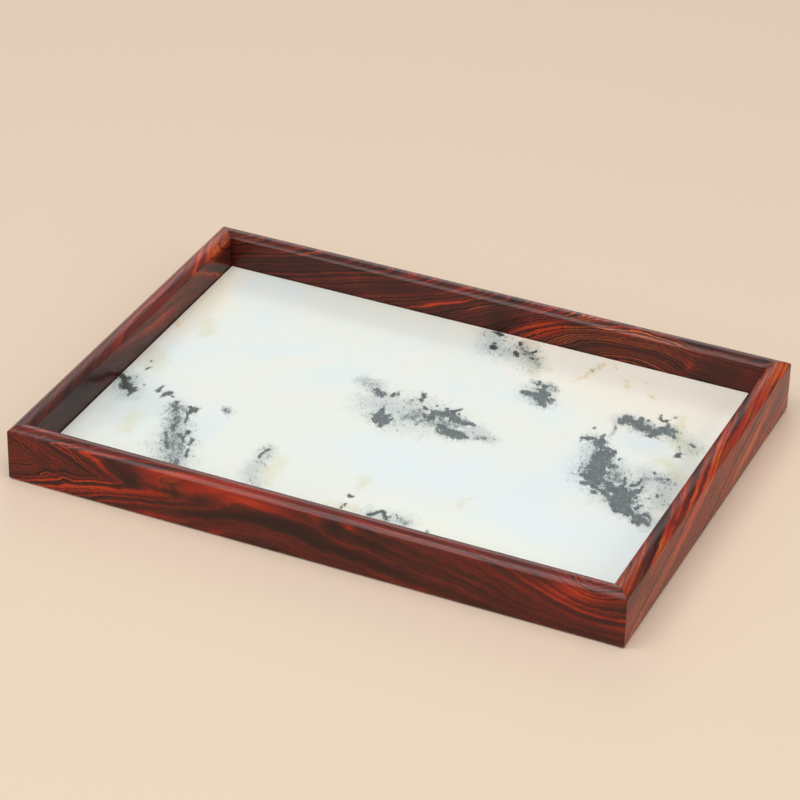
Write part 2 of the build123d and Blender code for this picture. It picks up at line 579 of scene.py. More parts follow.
for side, grain in grains.items():
    years = [round(year_at(grain, accent[1]), 1) for accent in grain["accents"]]
    print(side, "rail, years of its accents", years)

# %% Rosewood
red_stops = [
    (0.08, (0.030, 0.009, 0.006)),
    (0.30, (0.052, 0.012, 0.008)),
    (0.48, (0.092, 0.015, 0.009)),
    (0.64, (0.170, 0.018, 0.010)),
    (0.80, (0.330, 0.025, 0.009)),
    (0.97, (0.520, 0.050, 0.012)),
]
orange_stops = [
    (0.08, (0.024, 0.009, 0.006)),
    (0.30, (0.054, 0.012, 0.007)),
    (0.48, (0.096, 0.017, 0.009)),
    (0.64, (0.190, 0.028, 0.010)),
    (0.80, (0.340, 0.052, 0.012)),
    (0.97, (0.540, 0.105, 0.020)),
]
# Each sway has its stretch along the rail, one over its size, and its reach, in millimetres
sways = [
    (0.35, 0.06, (10, 4, 4)),
    (0.40, 0.30, (2.6, 1.4, 1.4)),
    (0.12, 1.30, (2.2, 0.8, 0.8)),
]
# How many lines a year holds, and how strongly they show
broad_lines, broad_contrast = 0.22, 0.60
plain_lines, plain_contrast = 1.1, 0.36
fine_lines, fine_contrast = 4.0, 0.36
# Each set of lines reads its own stretch of the noise, so that no two are alike
plain_start, fine_start = 40, 80
ring_wander = 9
# How a cloud is drawn out along the rail, in and up, one over its size, its detail and roughness
drift_cloud = ((0.3, 1, 1), 0.08, 2, 0.5)
unrest_cloud = ((0.4, 1, 1), 0.05, 1, 0.5)
fibre_cloud = ((0.10, 3, 3), 1, 2, 0.6)
pore_cloud = ((0.20, 2.6, 2.6), 1.5, 1, 0.5)
warmth_scale = 0.035
# The values of the noise between which each of them sets in
plain_edge = (0.34, 0.66)
unrest_edge = (0.35, 0.65)
pore_edge = (0.66, 0.74)
warmth_edge = (0.45, 0.65)
calmest, liveliest = 0.7, 1.1
drift_contrast = 0.4
finer_than_broad, finer_gain = 0.55, 1.4
fibre_contrast = 0.18
pore_darkness = 0.10
wax_roughness = 0.17
pore_roughness = 0.25
fibre_roughness = 0.08
fibre_height = 0.4
grain_height_mm = 0.02


def along_rail(bench, side):
    """The place as seen by a rail: along it, in from its outer face, and up."""
    x, y, z = parts_of(bench, place_mm(bench))
    if side == "front":
        return vector(bench, x, y - frame_low[1], z)
    if side == "back":
        return vector(bench, x, frame_high[1] - y, z)
    if side == "left":
        return vector(bench, y, x - frame_low[0], z)
    return vector(bench, y, frame_high[0] - x, z)


def sway(bench, place, along, scale, reach):
    """Moves the place about by noise, as wood grows: less sharply along the grain than across."""
    wander = noise(bench, stretch(bench, place, (along, 1, 1)), scale, output="Color")
    centred = vector_math(bench, "SUBTRACT", wander, (middle, middle, middle))
    return vector_math(bench, "ADD", stretch(bench, centred, reach), place)


def cloud(bench, place, drawn_out, scale, detail, roughness):
    """Noise that is drawn out along the rail, as fibres and pores are."""
    return noise(bench, stretch(bench, place, drawn_out), scale, detail, roughness)


def rosewood(side, grain):
    """The wood of one rail."""
    material, bench = new_finish(f"rosewood_{side}")
    place = along_rail(bench, side)
    swayed = place
    for along, scale, reach in sways:
        swayed = sway(bench, swayed, along, scale, reach)
    year = vector_math(bench, "DOT_PRODUCT", swayed, grain["slope"]) + grain["seed"]
    year = add_hills(bench, year, swayed, grain["hills"])
    broad = line_noise(bench, year, broad_lines, detail=1)
    plain = line_noise(bench, year + plain_start, plain_lines, roughness=0.6)
    plain = fade(bench, plain, *plain_edge)
    fine = line_noise(bench, year + fine_start, fine_lines, detail=1)
    rings = (year * radians(360) + broad * ring_wander).math("SINE")
    drift = cloud(bench, place, *drift_cloud)
    lively = fade(bench, cloud(bench, place, *unrest_cloud), *unrest_edge, calmest, liveliest)
    lively = add_hills(bench, lively, place, grain["lively"])
    finer = add_hills(bench, 0, place, grain["finer"])

    figure = (broad - middle) * broad_contrast + (plain - middle) * plain_contrast
    figure = figure * (1 - finer * finer_than_broad)
    fine_figure = (fine - middle) * fine_contrast * (finer * finer_gain + 1)
    figure = figure + fine_figure + rings * grain["beat"]
    value = grain["tone"] + (drift - middle) * drift_contrast + figure * lively
    value = add_hills(bench, value, swayed, grain["patches"])
    along, _, _ = parts_of(bench, swayed)
    for amount, centre, length, half_width in grain["accents"]:
        thickness = half_width * years_per_mm(grain, centre)
        off_line = (year - year_at(grain, centre)) / thickness
        spot = vector(bench, (along - centre[0]) / length, off_line, 0)
        value = add_hills(bench, value, spot, [(amount, (0, 0, 0), (1, 1, 1))])

    fibre = cloud(bench, swayed, *fibre_cloud)
    pores = fade(bench, cloud(bench, place, *pore_cloud), *pore_edge)
    value = value + (fibre - middle) * fibre_contrast - pores * pore_darkness
    warmth = fade(bench, noise(bench, place, warmth_scale) + grain["warmth"], *warmth_edge)
    colour = mix(bench, warmth, ramp(bench, value, red_stops), ramp(bench, value, orange_stops))
    roughness = wax_roughness + pores * pore_roughness + (fibre - middle) * fibre_roughness
    height = fibre * fibre_height - pores
    finish(bench, colour, roughness, height, grain_height_mm, grain["wax_ior"])
    return material


rosewoods = {side: rosewood(side, grain) for side, grain in grains.items()}
print("rosewood for", list(rosewoods))

# %% [markdown]
# ## The moulded rails
#
# A joiner runs the moulding along a whole length of wood and then cuts the mitres. The tree below
# does the same. It draws the section, crowns its top, rounds its corners, sweeps it along a line
# and cuts the mitres by one rule: a point that lies deeper in from the outer face stops sooner, so
# each end slopes at 45 degrees. The very end is a hair smaller all round, which leaves the fine
# dark line of a hand-planed mitre. One tree makes all four rails, because only the length and the
# turn change.

# %% Moulded rail tree
crown_rise = 2.6
outer_arris = 0.5
inner_arris = 0.8
bottom_outer_radius = 0.8
bottom_inner_radius = 0.4
crown_points = 26
length_points = 120
corner_points = 5
joint_setback = 0.12
joint_share = 0.001
hair = 0.01
rail_smooth_below = 40


def group_tree(name, inputs):
    """A Geometry Nodes tree with named inputs, and its bench."""
    tree = bpy.data.node_groups.new(name, "GeometryNodeTree")
    for label, kind in inputs:
        tree.interface.new_socket(label, in_out="INPUT", socket_type=kind)
    tree.interface.new_socket("Geometry", in_out="OUTPUT", socket_type="NodeSocketGeometry")
    bench = Bench(tree)
    source = tree.nodes.new("NodeGroupInput")
    wires = {label: Wire(bench, source.outputs[label]) for label, kind in inputs}
    return tree, bench, wires


def close_tree(bench, solid, smooth_below, finish):
    """Shades its gentle edges smooth and ends a tree with real faces and their material."""
    gentle = bench.add("GeometryNodeInputMeshEdgeAngle").math("LESS_THAN", radians(smooth_below))
    for domain, smooth in (("FACE", True), ("EDGE", gentle)):
        shading = {"Geometry": solid, "Shade Smooth": smooth}
        solid = bench.add("GeometryNodeSetShadeSmooth", shading, domain=domain)
    solid = bench.add("GeometryNodeRealizeInstances", {"Geometry": solid})
    solid = bench.add("GeometryNodeSetMaterial", {"Geometry": solid, "Material": finish})
    bench.add("NodeGroupOutput", {"Geometry": solid})


def rail_tree():
    """Draws, crowns, rounds, sweeps and mitres one rail. Its lengths are in metres."""
    tree, bench, given = group_tree("moulded_rail", [
        ("Geometry", "NodeSocketGeometry"),
        ("Half length", "NodeSocketFloat"),
        ("Reach", "NodeSocketFloat"),
        ("Thickness", "NodeSocketFloat"),
        ("Foot", "NodeSocketFloat"),
        ("Arris height", "NodeSocketFloat"),
        ("Crown rise", "NodeSocketFloat"),
        ("Turn", "NodeSocketFloat"),
        ("Finish", "NodeSocketMaterial"),
    ])
    thickness = given["Thickness"]
    foot = given["Foot"]
    arris = given["Arris height"]
    corners = [(0, foot), (0, arris), (thickness, arris), (thickness, foot)]
    named = {
        f"Point {index + 1}": vector(bench, depth, height, 0)
        for index, (depth, height) in enumerate(corners)
    }
    section = bench.add("GeometryNodeCurvePrimitiveQuadrilateral", named, mode="POINTS")
    index = bench.add("GeometryNodeInputIndex")
    on_top = bench.add("FunctionNodeCompare", {2: index, 3: 1}, data_type="INT", operation="EQUAL")
    cuts = {"Curve": section, "Cuts": on_top * crown_points}
    section = bench.add("GeometryNodeSubdivideCurve", cuts)

    depth, height, _ = parts_of(bench, bench.add("GeometryNodeInputPosition"))
    across = (depth * 2 / thickness) - 1
    rise = (1 - across * across) * given["Crown rise"] * (height - foot) / (arris - foot)
    raised = {"Geometry": section, "Offset": vector(bench, 0, rise, 0)}
    section = bench.add("GeometryNodeSetPosition", raised)

    outer = depth.math("LESS_THAN", hair * MM)
    inner = depth.math("GREATER_THAN", thickness - hair * MM)
    low = height.math("LESS_THAN", foot + hair * MM)
    radius = outer * (low * bottom_outer_radius + (1 - low) * outer_arris)
    radius = (radius + inner * (low * bottom_inner_radius + (1 - low) * inner_arris)) * MM
    rounding = {"Curve": section, "Radius": radius, "Count": corner_points, "Limit Radius": True}
    section = bench.add("GeometryNodeFilletCurve", rounding, mode="POLY")

    line = bench.add("GeometryNodeCurvePrimitiveLine", {"Start": (0, 0, -1), "End": (0, 0, 1)})
    line = bench.add("GeometryNodeResampleCurve", {"Curve": line, "Count": length_points})
    sweep = {"Curve": line, "Profile Curve": section, "Fill Caps": True}
    solid = bench.add("GeometryNodeCurveToMesh", sweep)
    doubles = {"Geometry": solid, "Distance": hair * MM / 4}
    solid = bench.add("GeometryNodeMergeByDistance", doubles)

    depth, height, station = parts_of(bench, bench.add("GeometryNodeInputPosition"))
    near_end = (1 - joint_share) / (1 - 2 / (length_points - 1))
    at_joint = station.math("ABSOLUTE").math("GREATER_THAN", 1 - joint_share)
    station = (station * near_end).math("MINIMUM", 1).math("MAXIMUM", -1)
    middle_depth = thickness / 2
    middle_height = (foot + arris + given["Crown rise"]) / 2
    inset = at_joint * (2 * joint_setback * MM)
    depth = depth - (depth - middle_depth) * inset / thickness
    height = height - (height - middle_height) * inset / (middle_height - foot) / 2
    mitred = station * (given["Half length"] - depth)
    place = vector(bench, mitred, depth - given["Reach"], height)
    solid = bench.add("GeometryNodeSetPosition", {"Geometry": solid, "Position": place})
    solid = bench.add("GeometryNodeFlipFaces", {"Mesh": solid})
    turned = vector(bench, 0, 0, given["Turn"])
    solid = bench.add("GeometryNodeTransform", {"Geometry": solid, "Rotation": turned})
    close_tree(bench, solid, rail_smooth_below, given["Finish"])
    return tree


def grow(name, tree, values):
    """Runs a tree with the given inputs and keeps the result as a plain mesh."""
    seed = bpy.data.objects.new(f"{name}_seed", bpy.data.meshes.new(f"{name}_seed"))
    bpy.context.scene.collection.objects.link(seed)
    modifier = seed.modifiers.new("grow", "NODES")
    modifier.node_group = tree
    sockets = [item for item in tree.interface.items_tree if item.in_out == "INPUT"]
    identifiers = {item.name: item.identifier for item in sockets}
    for label, value in values.items():
        modifier[identifiers[label]] = value
    evaluated = seed.evaluated_get(bpy.context.evaluated_depsgraph_get())
    mesh = bpy.data.meshes.new_from_object(evaluated)
    bpy.data.objects.remove(seed)
    mesh.name = name
    piece = bpy.data.objects.new(name, mesh)
    bpy.context.scene.collection.objects.link(piece)
    return piece


def report(piece):
    """Prints how big a mesh is. Its volume is above zero when its faces point out."""
    solid = bmesh.new()
    solid.from_mesh(piece.data)
    volume = round(solid.calc_volume(signed=True) / MM ** 3)
    open_edges = sum(not edge.is_manifold for edge in solid.edges)
    print(piece.name, len(solid.verts), "points,", volume, "mm3,", open_edges, "open edges")
    solid.free()


# %% Rails
rail_turns = {"front": 0, "right": 90, "back": 180, "left": 270}
moulded_rail = rail_tree()
for side, turned in rail_turns.items():
    is_long = side in ("front", "back")
    rail = grow(f"moulded_{side}_rail", moulded_rail, {
        "Half length": (frame_length if is_long else frame_width) / 2 * MM,
        "Reach": (frame_width if is_long else frame_length) / 2 * MM,
        "Thickness": rail_thickness * MM,
        "Foot": rail_foot * MM,
        "Arris height": (rail_top - crown_rise) * MM,
        "Crown rise": crown_rise * MM,
        "Turn": radians(turned),
        "Finish": rosewoods[side],
    })
    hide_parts(f"{side}_rail")
    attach(rail, "root")
    report(rail)

# %% [markdown]
# ## The marble slab
#
# The slab is a thin sheet of pale marble with the dark, branching stains that run through such stone
# like moss. Where they lie is part of how this slab looks, so each stain is a stroke, a short path
# with a half width at each point, laid out on the stone. How deep a point lies inside the nearest
# stroke goes into the mesh as an attribute, and a thin stroke counts each millimetre for more, so
# that the noise that tears the edges in the material leaves thin strokes whole.

# %% Strokes of the stone's pattern
# Each point of a stroke has its X, its Y and the half width there, in millimetres
slate_strokes = [
    [(47.5, 73, 1.7), (48, 70.5, 1.7)],
    [(50.5, 72, 0.9), (52.5, 70, 1.6)],
    [
        (52, 69, 1.3), (53, 65, 2.2), (54.5, 60, 4.6), (56.5, 57, 4.6), (57.5, 53, 3.4),
        (57, 51, 1.6),
    ],
    [(43, 60, 1.6), (46.5, 59, 2.4), (50.5, 60, 2.6), (54.5, 59, 4)],
    [(49.5, 66, 0.9), (51.5, 64, 1.2)],
    [(60.5, 59.5, 1.2), (62.5, 59, 0.7)],
    [(61.5, 55, 1.1), (59.5, 55.5, 1.1)],
    [(103.5, 61.5, 1.8), (105, 61, 2.6), (104, 56, 2.8), (103.5, 53, 1.6)],
    [
        (104, 56, 2.6), (109, 56, 3), (113, 55, 4.2), (118, 54, 3.8), (122, 53, 4.4),
        (127, 56, 3.8), (130.5, 57.5, 3.2),
    ],
    [(131, 59.5, 1.6), (131.5, 54, 2.2), (135.5, 52, 1.2)],
    [(112, 63, 1.3), (113, 59, 3)],
    [(123, 49, 2.2), (123, 52, 4)],
    [(127, 63.5, 0.7), (128, 59, 1)],
    [(116.5, 63, 1), (116, 62, 1)],
    [(100, 39, 0.8), (100, 33, 2), (101.5, 30, 2.6)],
    [(97, 32, 2), (99.5, 28, 2.4), (103.5, 26, 2.4)],
    [
        (107, 26, 1.6), (106.5, 21, 4.6), (107, 13, 5.6), (108, 5, 6.6), (110, -1.5, 7.2),
        (111, -6.5, 5.2),
    ],
    [(111, 26, 1), (110.5, 20, 2)],
    [(113.5, 12, 1.6), (117, 11, 1.2)],
    [
        (115.5, -3.5, 2.2), (119.5, -7.5, 1.8), (123, -10.5, 2.6), (127, -9.5, 4.2),
        (130, -13.5, 7.2),
    ],
    [
        (130, -13.5, 7.2), (133, -20.5, 6.8), (137, -25.5, 4.6), (142, -27.5, 2.6),
        (147, -30.5, 3.8), (151, -32.5, 1.8),
    ],
    [(134, -8.5, 3), (130, -18.5, 6), (134, -26.5, 3.4)],
    [(146, -32.5, 2.4), (148, -35.5, 1.4)],
    [(106.5, -10.5, 1.8), (112.5, -11.5, 1.8), (118.5, -13.5, 1.6), (124, -16.5, 2.6)],
    [(115.5, -17.5, 1.7), (115, -16.5, 1.4)],
    [(125, 4, 0.7), (127, -2.5, 1.1), (126, -6.5, 2.2)],
    [(121, -3.5, 1.2), (123, -8.5, 2)],
    [(134, 7, 1.1), (133, -0.5, 1.3), (131.5, -1.5, 1.1)],
    [(136, 3, 0.7), (137, -3.5, 1.1), (134, -8.5, 3)],
    [(142, -18, 1.4), (141, -21, 1.4)],
    [(148, -24.5, 1.8), (151, -26.5, 0.9)],
    [(8.5, 18, 2.6), (8.5, 13, 3.6), (9, 9, 1.8)],
    [(-121, -37.5, 1.4), (-118.5, -41.5, 1.2)],
    [(-116, -45.5, 1), (-114.5, -49.5, 1.5)],
    [(-113, -52.5, 1.6), (-111.5, -58.5, 1.4)],
    [(-111.5, -40.5, 1.6), (-109.5, -46.5, 1.2), (-108.5, -50.5, 0.8)],
    [(-112.5, -64.5, 1), (-109, -70.5, 1.6), (-104.5, -77.5, 1)],
    [(-106, -62, 1), (-101.5, -65.5, 1.4), (-100, -68.5, 1)],
    [(-97.5, -63.5, 0.9), (-96.5, -69.5, 1.2)],
    [(-94.5, -73.5, 0.8), (-92.5, -80.5, 0.8)],
    [(-95.5, -85.5, 1.2), (-94, -89, 1.5)],
    [
        (8.5, 17, 2.8), (13.5, 19, 2.6), (16.5, 20, 3.2), (20.5, 17, 3.2), (24.5, 16, 3.2),
        (28.5, 16, 2.4), (32.5, 16, 1.4),
    ],
    [(13, 25, 1), (15, 22, 2.6)],
    [(1.5, 21, 0.8), (3.5, 19.5, 1.5)],
    [
        (15.5, 8, 1.6), (17.5, 6, 2.4), (21.5, 4, 4.2), (25.5, 3, 5), (29.5, 2.5, 3.6),
        (34.5, 3, 1.2),
    ],
    [(15.5, 4, 1), (18.5, 1, 1.8)],
    [(-18.5, 11, 0.7), (-18, 6, 2), (-17.5, 1, 4.2), (-15, -2, 4.4)],
    [(-13, 4, 2), (-12, 0, 3.2), (-13, -4, 3), (-12, -7, 1.4)],
    [(-30, 26, 2.2), (-26, 23, 2.6), (-24, 21, 1.4)],
    [(90.5, 30, 1.2), (95.5, 32, 2)],
]
black_strokes = [
    [
        (-162.5, -23, 2.2), (-159.5, -25, 2.8), (-156.5, -29, 3.2), (-153.5, -33, 3.2),
        (-150.5, -34, 2.8), (-149.5, -31.5, 1.2),
    ],
    [(-150, -35, 1.2), (-149, -39.5, 0.8)],
    [(-137, -23, 1.1), (-136.5, -29, 1.2)],
    [
        (-132.5, -33.5, 0.9), (-131.5, -29, 1.3), (-130, -26.5, 1.3), (-129, -29, 1.1),
        (-126.5, -30.5, 0.8),
    ],
    [(-122.5, -34, 1.1), (-121.5, -36, 1.2)],
    [
        (-113.5, -35.5, 1.3), (-110.5, -36.5, 2.4), (-111, -39.5, 1.8), (-109, -35, 1.2),
        (-108.5, -39, 0.9),
    ],
    [(9.5, 97.5, 1.6), (10.5, 95.5, 1.8)],
    [(9, 100.5, 1.1), (9, 100, 1)],
    [(22.5, 97.5, 1.1), (24.5, 95.5, 1.8), (25.5, 93.5, 1.5)],
    [(21.5, 108.5, 0.7), (22.5, 104.5, 1.1)],
    [(3.5, 112, 1.4), (9.5, 110.5, 2)],
    [(32, 100.5, 1.4), (33.5, 102.5, 1.2)],
    [(32.5, 94.5, 0.9), (35.5, 94.5, 1)],
    [(120.5, 70, 1.1), (121, 67, 1), (123, 65, 1.1), (125, 66, 1.1)],
    [(126, 68, 0.6), (126.5, 67, 0.6)],
    [(128.5, 71.5, 1), (128, 71, 0.8)],
    [(140.5, 52, 0.7), (141, 51, 0.7)],
    [(145, 49.5, 1.1), (148, 48, 1.2)],
    [(143, 38, 1.5), (142, 34.5, 0.9), (144.5, 35.5, 1)],
    [(116, 19, 0.9), (116, 17.5, 0.9)],
    [(137.5, 15, 1.1), (139, 13, 0.8)],
    [(145.5, 13, 0.9), (146.5, 10, 0.7)],
    [(92.5, 42.5, 0.8), (92.5, 42, 0.8)],
    [(143.5, -9.5, 0.7), (144, -9.5, 0.7)],
    [(146.5, -4.5, 0.6), (147, -6.5, 0.8)],
    [(19.5, 27.5, 1.2), (18, 25, 1.2), (16.5, 24.5, 0.7)],
    [(21, 22.5, 1), (21, 22, 0.9)],
    [(7, 25.5, 0.6), (7, 24.5, 0.6)],
    [(-4.5, 32.5, 1.4), (-3.5, 30.5, 1.5)],
    [(-3.5, 27.5, 1.3), (-2, 24, 1.2)],
    [(-7.5, 24.5, 1.2), (-7, 23.5, 0.8)],
    [(-17.5, 29, 1.4), (-17, 26.5, 0.8)],
    [(-19.5, 26.5, 0.7), (-19.5, 24, 1.2)],
    [(-19, 12.5, 0.7), (-19, 11.5, 0.7)],
    [(-9.5, 10.5, 0.7), (-9.5, 10, 0.7)],
    [(-103, -58, 1.1), (-102, -59.5, 1.1)],
    [(-56, -54.5, 0.8), (-57.5, -60.5, 0.9), (-57, -64.5, 0.8)],
    [(1, -75.5, 0.7), (2, -77, 1.1), (4, -76.5, 0.8)],
    [(3, -84.5, 0.8), (3, -88.5, 0.9)],
    [
        (18, -88.5, 1.2), (20, -86.5, 1.6), (22, -83.5, 1.1), (23.5, -81.5, 1.2), (25.5, -84, 1.1),
        (28.5, -88.5, 1.3),
    ],
    [(29, -84, 0.6), (29.5, -85.5, 0.6)],
    [(31.5, -81.5, 0.6), (33.5, -85, 0.8)],
    [(51.5, -88, 0.8), (52.5, -89.5, 1)],
    [(-155, -2, 1), (-155, -2.5, 0.9)],
    [(-152.5, -8.5, 0.6), (-153.5, -11.5, 0.7)],
    [(-147, -26, 0.9), (-146.5, -26, 0.9)],
    [(69.5, 97.5, 0.6), (70, 96.5, 0.6)],
    [(71.5, 102, 0.5), (71.8, 101.5, 0.5)],
]
broken_strokes = [
    [(-40, 31, 1.4), (-35, 29, 1.6)],
    [(38.5, 4, 1.6), (43.5, 6, 1.4)],
    [(90.5, 29, 1.4), (94.5, 31, 2.2)],
    [
        (-117.5, -44.5, 3.4), (-111.5, -56.5, 4.6), (-107.5, -67.5, 5.2), (-102.5, -77.5, 5.2),
        (-97.5, -87.5, 4.8),
    ],
    [
        (-117.5, -41.5, 1.6), (-112.5, -50.5, 2.4), (-110.5, -60.5, 3), (-107.5, -69.5, 3.2),
        (-103.5, -77.5, 2), (-99.5, -84.5, 1.4),
    ],
    [
        (-105.5, -61.5, 0.9), (-102.5, -64.5, 1.5), (-100, -67.5, 1.5), (-98, -73.5, 1.6),
        (-97, -80.5, 1.8), (-94, -88.5, 2),
    ],
    [(-97, -63.5, 1), (-97, -68.5, 1.2), (-94, -74.5, 1), (-92, -82.5, 0.9)],
    [(-123.5, -37.5, 2.2), (-118.5, -38.5, 2), (-113.5, -40.5, 2)],
    [(-122.5, -40.5, 1), (-122.5, -47.5, 0.6)],
    [(-95, -29, 2.2), (-92, -31.5, 2)],
    [(102.5, 50, 0.9), (103, 44, 1), (103, 39, 0.8)],
    [(116, 10, 2.4), (119, 4, 3.4), (122, -1.5, 3.4)],
    [(-3, 7, 3), (2.5, 13, 4), (10.5, 8, 3), (18.5, 12, 4), (26.5, 11, 3)],
    [(136, 7, 2), (142, 10, 2.4), (147, 9, 2)],
    [(22.5, 104.5, 2.4), (28.5, 99.5, 3), (35.5, 94.5, 3), (40.5, 88.5, 1.6)],
    [(44.5, 71, 1.6), (52.5, 71, 3), (58.5, 69, 2.4)],
    [(139, 11, 1.2), (144, 12, 1.4), (148, 11, 0.9)],
    [(-3, 13, 1.2), (-2, 16, 1.4), (0.5, 17, 1)],
    [(3.5, 13, 1.2), (5.5, 9, 1), (4, 2, 0.9)],
    [(15.5, 13, 2.4), (20.5, 11, 2.4), (27.5, 11, 1.8)],
    [(34.5, -83.5, 1.4), (37, -86.5, 2.4)],
    [(-53, -59.5, 0.7), (-53, -62.5, 0.7)],
    [(-7, 28, 0.8), (-4, 27, 0.9), (-6, 26, 0.7)],
    [(40.5, 86.5, 1.4), (38.5, 92.5, 1.2), (34.5, 98.5, 1.2)],
]
haze_strokes = [
    [(-23, 13, 12), (-7, 11, 16), (6.5, 11, 14), (20.5, 11, 10)],
    [(34.5, 9, 8), (46.5, 7, 4)],
    [(-33, 29, 6), (-41, 32, 4)],
    [(50.5, 61, 9), (57.5, 55, 6)],
    [(104, 57, 6), (132, 55, 6), (148, 45, 6)],
    [(98.5, 31, 6), (108.5, 1, 11), (128, -14.5, 11), (150, -30.5, 6)],
    [(136, 9, 9), (148, 9, 7), (150, -8.5, 8)],
    [(118, 11, 7), (126, -0.5, 8), (136, -0.5, 8)],
    [(-120.5, -38.5, 6), (-111.5, -54.5, 8), (-104.5, -72.5, 11), (-95, -88.5, 9)],
    [(-158.5, -27, 8), (-150.5, -37, 7)],
    [(-56, -54.5, 4), (-54, -80.5, 5), (-47, -88.5, 4)],
    [(4.5, 110.5, 8), (10.5, 96.5, 9), (26.5, 96.5, 10), (38.5, 86.5, 6)],
    [(19, -88.5, 6), (36.5, -86.5, 6)],
]
yellow_strokes = [
    [(26.5, 110.5, 6), (27.5, 102.5, 6), (38.5, 88.5, 5), (42.5, 78.5, 4)],
    [(132, 73, 3), (134, 59, 4), (136, 51, 5), (146, 45, 5)],
    [(138, 27, 5), (143, 23, 4), (150, 17, 5)],
    [(-159, 5, 9), (-152, -4, 8)],
    [(-47, -60.5, 4), (-45, -74.5, 5), (-43, -84.5, 4)],
    [(56.5, -54.5, 1.6), (57.5, -59.5, 2)],
    [(71, 104, 1.6), (68, 91, 1.4)],
    [(78.5, 109, 1.4), (80.5, 105, 1.2)],
    [(107, 87.5, 1.2), (111, 84.5, 1.4)],
    [(2, -56.5, 3), (4, -66.5, 3)],
    [(9, -86.5, 4), (-5, -88.5, 3)],
    [(-146.5, 50.5, 4), (-142.5, 39, 5)],
    [(-136.5, -56.5, 4.5), (-134.5, -70.5, 4)],
]
rust_strokes = [
    [(71.5, 106.5, 2.6), (70.5, 96.5, 2.8), (66.5, 86.5, 2.4), (65.5, 82.5, 2)],
    [(78.5, 109.5, 2.2), (80, 106.5, 1.8)],
    [(84.5, 101, 0.7), (86, 99, 0.7)],
    [(90, 95.5, 1.5), (93, 90, 2), (95, 87, 0.9)],
    [(100.5, 99.5, 1), (101, 95.5, 1.2)],
    [(107, 87.5, 1.6), (111, 84.5, 2)],
    [(111.5, 96, 0.8), (112, 95.5, 0.8)],
    [(48.5, 88.5, 0.8), (49.5, 86.5, 0.8)],
    [(134.5, 67, 1.6), (136, 64.5, 1.2)],
    [(39.5, 80.5, 1), (41.5, 79, 0.8)],
    [(66.5, 83.5, 0.7), (66.5, 83, 0.7)],
    [(-162.5, 43, 4), (-159.5, 39, 2.5)],
    [(54.8, -55, 0.8), (59, -51.5, 1.1), (61.8, -48, 0.7)],
    [(-49.5, -71.5, 1), (-49.5, -76.5, 1.2)],
    [(151, -25.5, 1.6), (153.5, -24.5, 1.2)],
    [(-158.5, 0, 0.8), (-158, -0.5, 0.8)],
]

# %% Marble slab mesh
slab_cell = 0.9
slab_arris = 0.3
full_width = 5.0
outside_limit = -20.0


def depth_inside(points, strokes):
    """How far each point lies inside the nearest stroke. A thin stroke's depth counts for more."""
    best = np.full(len(points), outside_limit)
    for stroke in strokes:
        for (*start, first_width), (*end, last_width) in zip(stroke, stroke[1:]):
            run = np.subtract(end, start)
            share = np.clip((points - start) @ run / (run @ run), 0, 1)
            distance = np.linalg.norm(points - start - share[:, None] * run, axis=1)
            width = first_width + (last_width - first_width) * share
            best = np.maximum(best, (width - distance) * full_width / (width + 1))
    return best


stains = {
    "slate": slate_strokes,
    "black": black_strokes,
    "broken": broken_strokes,
    "haze": haze_strokes,
    "yellow": yellow_strokes,
    "rust": rust_strokes,
}


def make_slab():
    """A closed slab whose top is a fine grid, so that it can carry the masks."""
    low, high = slab_low, slab_high
    columns = round((high[0] - low[0]) / slab_cell)
    rows = round((high[1] - low[1]) / slab_cell)
    solid = bmesh.new()
    bmesh.ops.create_grid(solid, x_segments=columns, y_segments=rows, size=0.5)
    centre = (low + high) / 2
    size = high - low
    for point in solid.verts:
        point.co.x = centre[0] + point.co.x * size[0]
        point.co.y = centre[1] + point.co.y * size[1]
        point.co.z = high[2]
    for depth in (slab_arris, size[2] - slab_arris):
        rim = [edge for edge in solid.edges if edge.is_boundary]
        lowered = bmesh.ops.extrude_edge_only(solid, edges=rim)["geom"]
        for point in [item for item in lowered if isinstance(item, bmesh.types.BMVert)]:
            point.co.z -= depth
    rim = [edge for edge in solid.edges if edge.is_boundary]
    bmesh.ops.holes_fill(solid, edges=rim, sides=0)
    for point in solid.verts:
        if point.co.z > high[2] - slab_arris / 2:
            point.co.x = np.clip(point.co.x, low[0] + slab_arris, high[0] - slab_arris)
            point.co.y = np.clip(point.co.y, low[1] + slab_arris, high[1] - slab_arris)
    bmesh.ops.recalc_face_normals(solid, faces=solid.faces)
    mesh = bpy.data.meshes.new("honed_slab")
    solid.to_mesh(mesh)
    solid.free()
    points = np.array([point.co[:2] for point in mesh.vertices])
    for name, strokes in stains.items():
        mask = mesh.attributes.new(name, "FLOAT", "POINT")
        mask.data.foreach_set("value", depth_inside(points, strokes))
    mesh.transform(Matrix.Scale(MM, 4))
    slab = bpy.data.objects.new("honed_slab", mesh)
    bpy.context.scene.collection.objects.link(slab)
    return slab


slab = make_slab()
report(slab)

# %% [markdown]
# ## Marble
#
# The ground is nearly white, with slow clouds, and tints: cooler in the middle, creamier towards the
# back. Part of that cream is painted light: pale strips along the back, left and right edges lift
# the stone where the rails shade it. Over it lie a grey haze round the growths, yellow and rusty
# stains, broken grey streaks, solid slate grey growths and black flecks. Three noises tear their
# edges: lobes, then feathers that lean across the slab as the real growths do, then crumbs. Below
# each edge lies a veil, where the growth is thin and the stone shines through, and the haze is
# strewn with dark specks. The stone is honed and polished, so it is smooth, with a faint change of
# gloss.

# %% Marble finish
marble_ground = (0.79, 0.82, 0.75)
marble_blue = (0.74, 0.82, 0.81)
